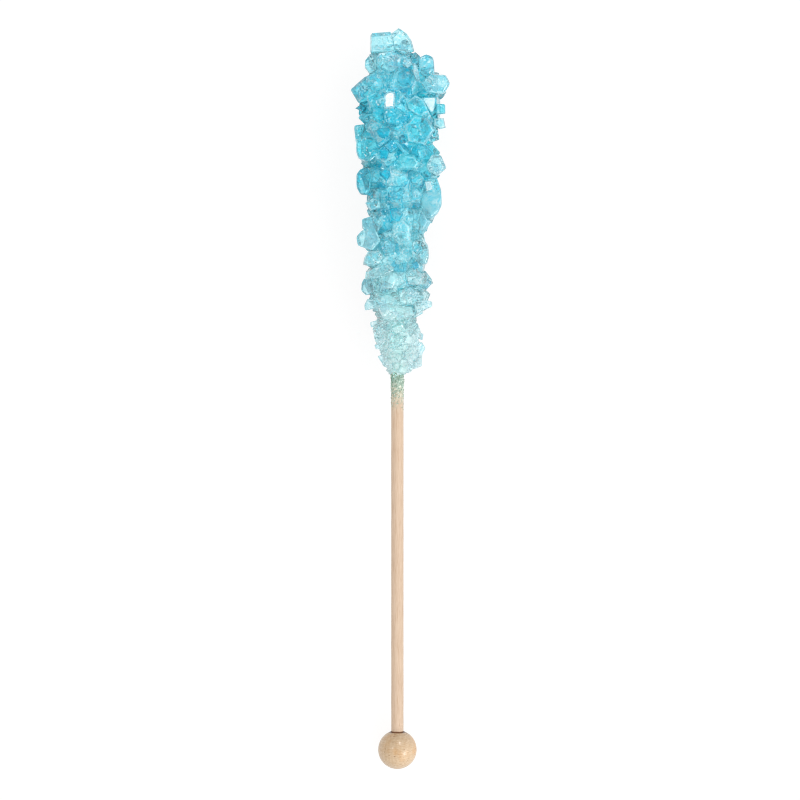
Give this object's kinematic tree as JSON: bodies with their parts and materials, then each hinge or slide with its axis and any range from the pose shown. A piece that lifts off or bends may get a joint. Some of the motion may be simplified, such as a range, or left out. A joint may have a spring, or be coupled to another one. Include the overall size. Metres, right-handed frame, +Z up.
{
  "type": "rock candy stick",
  "caption": "Club of coarse light blue sugar crystals on a plain wooden stick with a wooden ball at its other end, lying on its side.",
  "frame": {"origin": "on the floor, under the middle of the object's bounding box", "axes": "+Z up; +Y along the length, towards the candy end; +X to the right when looking down with the candy at the top"},
  "size_m": [0.0246, 0.1808, 0.0205],
  "materials": {
    "sugar": "clear to milky blue sugar, glossy facets",
    "stick_wood": "plain sanded dowel, matt",
    "ball_wood": "turned wood, satin lacquer"
  },
  "bodies": {
    "root": {"candy": "sugar", "stick": "stick_wood", "ball": "ball_wood"}
  },
  "joints": []
}
